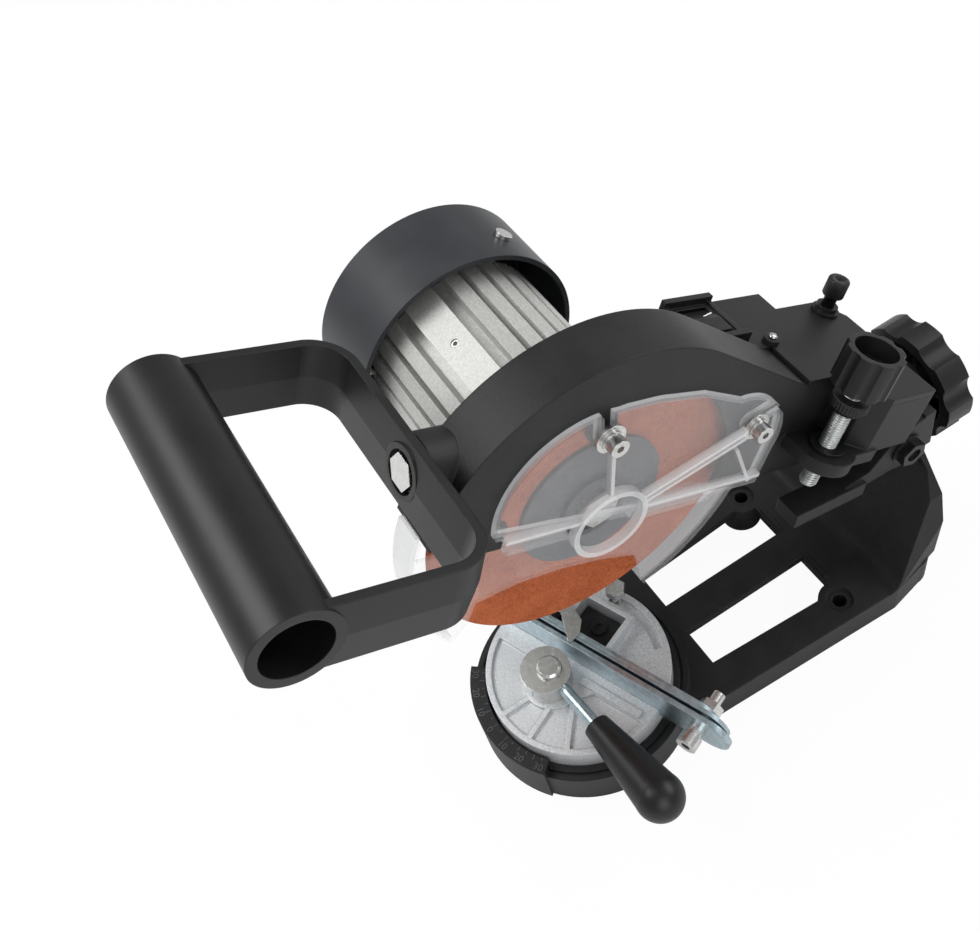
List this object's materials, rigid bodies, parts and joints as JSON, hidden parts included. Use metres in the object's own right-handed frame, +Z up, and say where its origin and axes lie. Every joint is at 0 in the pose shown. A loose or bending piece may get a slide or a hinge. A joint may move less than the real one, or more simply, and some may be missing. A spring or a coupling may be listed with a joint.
{
  "type": "electric chainsaw sharpener",
  "caption": "Bench chainsaw-chain grinder: swinging, tilting head with guarded wheel, ribbed motor, loop handle and depth screw over a rotating rail vise.",
  "frame": {"origin": "midway between the two bench holes, on the plane of the bench under the base", "axes": "+Z up from the bench, +X to the operator's right, +Y from the operator to the hinge at the rear"},
  "size_m": [0.2311, 0.3254, 0.2746],
  "materials": {
    "black_paint": "satin black powder coat on cast aluminium",
    "black_plastic": "satin black moulded plastic",
    "cover_metal": "satin dark grey paint on sheet steel",
    "motor_alloy": "satin extruded aluminium",
    "vise_alloy": "grainy bare casting",
    "zinc": "bluish zinc plating",
    "bright_steel": "bright nickel plating",
    "black_steel": "black oxide",
    "wheel": "orange-brown bonded abrasive",
    "clear": "clear polycarbonate",
    "lamination": "dull laminated steel"
  },
  "bodies": {
    "base": {"base_plate": "black_paint"},
    "bracket": {"tilt_bracket": "black_paint", "hinge_bolt": "black_steel", "hinge_nut": "black_steel", "tilt_stud": "bright_steel", "tilt_washer": "bright_steel"},
    "tilt_knob": {"tilt_knob": "black_plastic"},
    "head": {"head_casting": "black_paint", "arm_cover": "black_paint", "cover_screw": "black_steel", "switch_bezel": "black_plastic", "stop_screw": "black_steel", "stop_washers": "black_steel", "ear_bush": "black_plastic", "motor_housing": "motor_alloy", "stator": "lamination", "front_bearing": "bright_steel", "rear_bearing": "bright_steel", "end_cap": "cover_metal", "fan_cover": "cover_metal", "fan_cover_screws": "bright_steel", "set_screw": "bright_steel", "cord_gland": "black_plastic", "upper_cover": "clear", "lower_guard": "clear", "guard_screws": "bright_steel", "guard_washers": "bright_steel", "handle": "black_plastic", "handle_bolt": "bright_steel", "handle_washer": "bright_steel"},
    "rocker": {"switch_rocker": "black_plastic"},
    "depth_rod": {"depth_rod": "zinc"},
    "depth_knob": {"depth_knob": "black_plastic"},
    "lock_nut": {"lock_nut": "black_steel"},
    "spindle": {"spindle": "bright_steel", "rotor": "lamination", "cooling_fan": "black_plastic", "inner_flange": "bright_steel", "grinding_wheel": "wheel", "outer_flange": "bright_steel", "flange_nut": "bright_steel"},
    "vise": {"turntable": "vise_alloy", "pivot_bolt": "bright_steel", "pivot_washer": "bright_steel", "front_rail": "zinc", "rear_rail": "zinc", "backing_rail": "zinc", "rail_bolt": "bright_steel", "rail_nut": "bright_steel", "pawl_carrier": "black_paint", "pawl_pin": "bright_steel", "pocket_screw": "black_steel", "adjusting_bolt": "bright_steel", "clamp_pin": "bright_steel"},
    "clamp": {"clamp_collar": "bright_steel", "lever_rod": "zinc", "lever_knob": "black_plastic"},
    "chain_stop": {"chain_pawl": "bright_steel"}
  },
  "joints": [
    {"name": "head_tilt", "type": "hinge", "parent": "base", "child": "bracket", "pos_m": [0, 0.0686, 0.1], "axis": [0, 1, 0], "range_deg": [-30, 30]},
    {"name": "tilt_knob_turn", "type": "hinge", "parent": "bracket", "child": "tilt_knob", "pos_m": [0, 0.07, 0.1], "axis": [0, 1, 0], "range_deg": [-360, 90]},
    {"name": "head_swing", "type": "hinge", "parent": "bracket", "child": "head", "pos_m": [0, 0.0425, 0.097], "axis": [-1, 0, 0], "range_deg": [-13.5, 20]},
    {"name": "switch_rock", "type": "hinge", "parent": "head", "child": "rocker", "pos_m": [-0.035, -0.02069, 0.17454], "axis": [0, 0.891, -0.454], "range_deg": [0, 18]},
    {"name": "depth_slide", "type": "slide", "parent": "head", "child": "depth_rod", "axis": [0, 0.454, 0.891], "range_m": [0, 0.012]},
    {"name": "depth_turn", "type": "hinge", "parent": "depth_rod", "child": "depth_knob", "pos_m": [0.0225, 0.01619, 0.16652], "axis": [0, 0.454, 0.891], "range_deg": [0, 3457]},
    {"name": "lock_nut_run", "type": "slide", "parent": "depth_rod", "child": "lock_nut", "axis": [0, 0.454, 0.891], "range_m": [-0.018, 0.0055]},
    {"name": "spindle_turn", "type": "hinge", "parent": "head", "child": "spindle", "pos_m": [0, -0.10583, 0.1636], "axis": [1, 0, 0], "continuous": true},
    {"name": "vise_turn", "type": "hinge", "parent": "base", "child": "vise", "pos_m": [0, -0.129, 0.022], "axis": [0, 0, 1], "range_deg": [-57, 13]},
    {"name": "clamp_turn", "type": "hinge", "parent": "vise", "child": "clamp", "pos_m": [-0.00088, -0.14284, 0.042], "axis": [0, 0, 1], "range_deg": [-60, 5]},
    {"name": "pawl_turn", "type": "hinge", "parent": "vise", "child": "chain_stop", "pos_m": [-0.02825, -0.12316, 0.052], "axis": [-0.3746, 0.9272, 0], "range_deg": [-75, 0]}
  ],
  "couplings": [
    {"joint": "depth_turn", "follows": "depth_slide", "rad_per_m": 5026.5}
  ]
}
